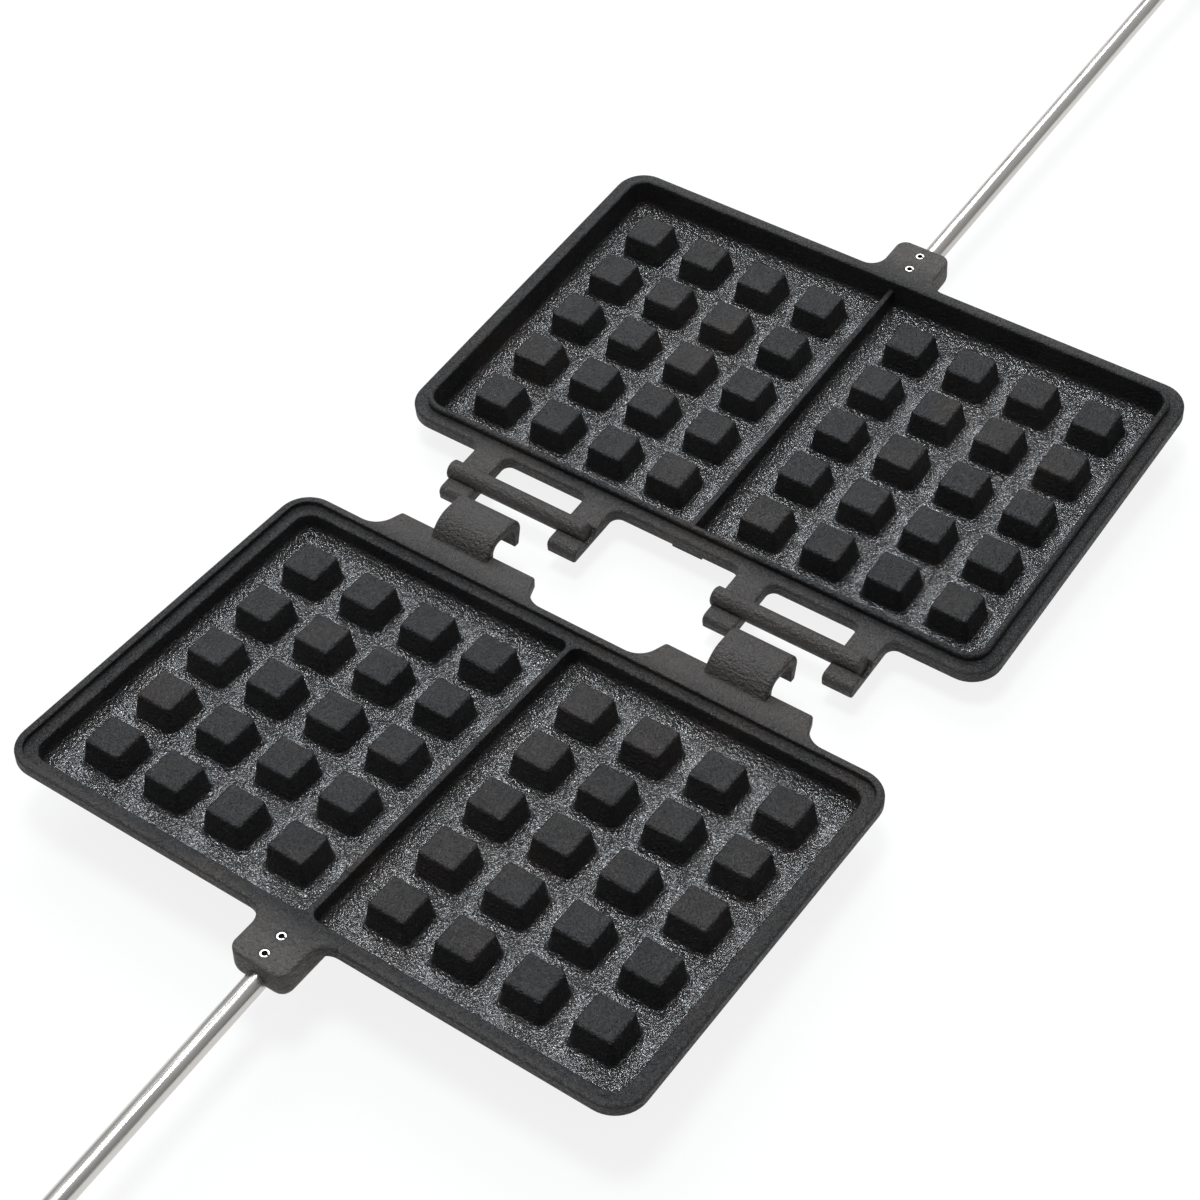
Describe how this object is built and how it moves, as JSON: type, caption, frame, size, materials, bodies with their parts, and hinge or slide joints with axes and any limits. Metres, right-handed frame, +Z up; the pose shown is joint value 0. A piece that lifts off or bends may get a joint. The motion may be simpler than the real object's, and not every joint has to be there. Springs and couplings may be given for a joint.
{
  "type": "stovetop waffle iron",
  "caption": "Stovetop waffle iron: two cast plates with pegs and divided cavities, joined by hooks over round bars, each with a pinned steel rod handle and wooden grip",
  "frame": {"origin": "bottom centre of the box round the open iron, on the table it lies on", "axes": "+Z up; +X along the hinge, to the right as seen from the hook half's grip; +Y from the hook half to the bar half, along both handles"},
  "size_m": [0.2344, 1.0998, 0.0482],
  "materials": {
    "plate": "cast, dark grey, lightly speckled and oiled",
    "rod": "bright drawn steel",
    "pin": "bright spring steel",
    "ferrule": "bright pressed steel",
    "grip": "turned hardwood, oiled",
    "washer": "plain steel",
    "hinge_bar": "blackened round bar, the colour of the casting"
  },
  "bodies": {
    "right_bar": {"hinge_bar_right": "hinge_bar"},
    "left_bar": {"hinge_bar_left": "hinge_bar"},
    "hook_half": {"hook_plate": "plate", "hook_rod": "rod", "hook_pin_inner": "pin", "hook_pin_outer": "pin", "hook_ferrule": "ferrule", "hook_grip": "grip", "hook_washer": "washer"},
    "bar_half": {"bar_plate": "plate", "bar_rod": "rod", "bar_pin_inner": "pin", "bar_pin_outer": "pin", "bar_ferrule": "ferrule", "bar_grip": "grip", "bar_washer": "washer"}
  },
  "joints": [
    {"name": "hook_on_swing", "type": "hinge", "parent": "left_bar", "child": "hook_half", "pos_m": [0, 0.00125, 0.02148], "axis": [1, 0, 0], "range_deg": [0, 138.65]},
    {"name": "hook_on_tilt", "type": "hinge", "parent": "right_bar", "child": "left_bar", "pos_m": [0, 0.01297, 0.01354], "axis": [-1, 0, 0], "range_deg": [0, 226.6]},
    {"name": "fold", "type": "hinge", "parent": "right_bar", "child": "bar_half", "pos_m": [0, 0.01297, 0.01354], "axis": [1, 0, 0], "range_deg": [0, 85]}
  ],
  "couplings": [
    {"joint": "hook_on_tilt", "follows": "hook_on_swing", "ratio": 1.6343}
  ]
}
